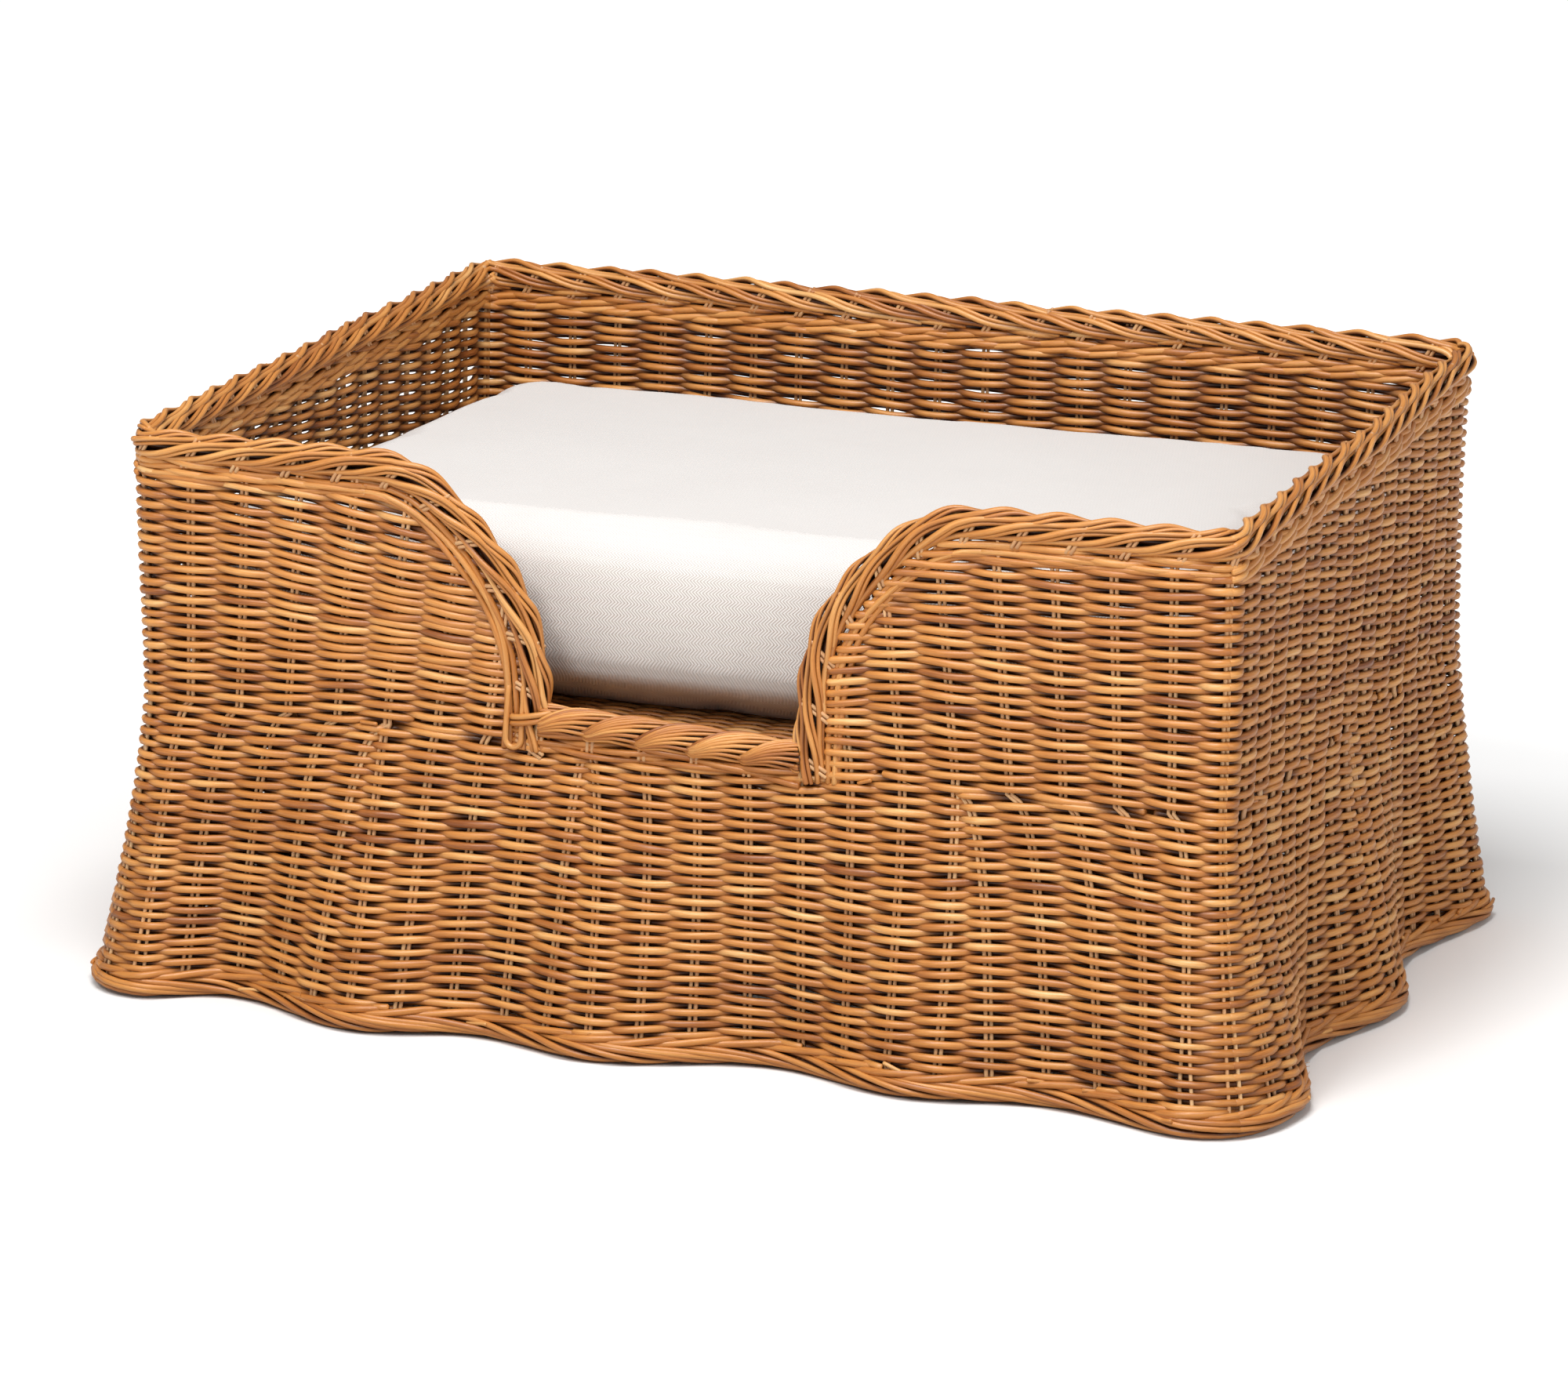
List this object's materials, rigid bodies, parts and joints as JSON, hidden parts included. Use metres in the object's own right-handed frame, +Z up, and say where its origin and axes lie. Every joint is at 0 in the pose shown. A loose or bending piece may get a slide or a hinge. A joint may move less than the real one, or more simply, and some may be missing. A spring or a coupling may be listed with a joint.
{
  "type": "wicker pet bed basket",
  "caption": "Rectangular woven rattan pet bed with a high wall, a low U-shaped entrance, a flared ruffled skirt and a lift-out boxed cushion.",
  "frame": {"origin": "middle of the base on the floor, at the bottom centre of the bounding box", "axes": "+Z up, +X along the long side, and the entrance faces -Y"},
  "size_m": [0.8426, 0.6525, 0.41],
  "materials": {
    "rattan_weave": "satin",
    "rattan_stakes": "satin",
    "rattan_border": "satin",
    "rattan_poles": "satin",
    "cover_cotton": "matte",
    "filling": "matte",
    "zip_tape_cloth": "matte",
    "zip_coil_nylon": "satin",
    "zip_metal": "satin"
  },
  "bodies": {
    "basket": {"base_crossbars": "rattan_poles", "base_mat": "rattan_weave", "base_rail_back": "rattan_poles", "base_rail_front": "rattan_poles", "base_rail_left": "rattan_poles", "base_rail_right": "rattan_poles", "entrance_edge_left": "rattan_border", "entrance_edge_right": "rattan_border", "hem_back": "rattan_border", "hem_front": "rattan_border", "hem_left": "rattan_border", "hem_right": "rattan_border", "leg_back_left": "rattan_poles", "leg_back_right": "rattan_poles", "leg_front_left": "rattan_poles", "leg_front_right": "rattan_poles", "rim_back": "rattan_border", "rim_front_left": "rattan_border", "rim_front_right": "rattan_border", "rim_left": "rattan_border", "rim_right": "rattan_border", "sill_border": "rattan_border", "skirt_back": "rattan_weave", "skirt_front": "rattan_weave", "skirt_left": "rattan_weave", "skirt_right": "rattan_weave", "stakes_back": "rattan_stakes", "stakes_corners": "rattan_stakes", "stakes_front_left": "rattan_stakes", "stakes_front_right": "rattan_stakes", "stakes_left": "rattan_stakes", "stakes_right": "rattan_stakes", "waling_back": "rattan_border", "waling_front": "rattan_border", "waling_left": "rattan_border", "waling_right": "rattan_border", "wall_back": "rattan_weave", "wall_front_left": "rattan_weave", "wall_front_right": "rattan_weave", "wall_left": "rattan_weave", "wall_right": "rattan_weave"},
    "cushion": {"cover_bottom": "cover_cotton", "cover_boxing": "cover_cotton", "cover_top": "cover_cotton", "cushion_filling": "filling", "zip_coil": "zip_coil_nylon", "zip_tape": "zip_tape_cloth"},
    "zip_slider": {"zip_slider": "zip_metal"},
    "zip_pull": {"zip_pull": "zip_metal"}
  },
  "joints": [
    {"name": "cushion_lift", "type": "slide", "parent": "basket", "child": "cushion", "axis": [0, 0, 1], "range_m": [0, 0.3]},
    {"name": "zip_slide", "type": "slide", "parent": "cushion", "child": "zip_slider", "axis": [-1, 0, 0], "range_m": [0, 0.538]},
    {"name": "zip_pull_turn", "type": "hinge", "parent": "zip_slider", "child": "zip_pull", "pos_m": [0.269, 0.261, 0.272], "axis": [0, 0, 1], "range_deg": [0, 175]}
  ]
}
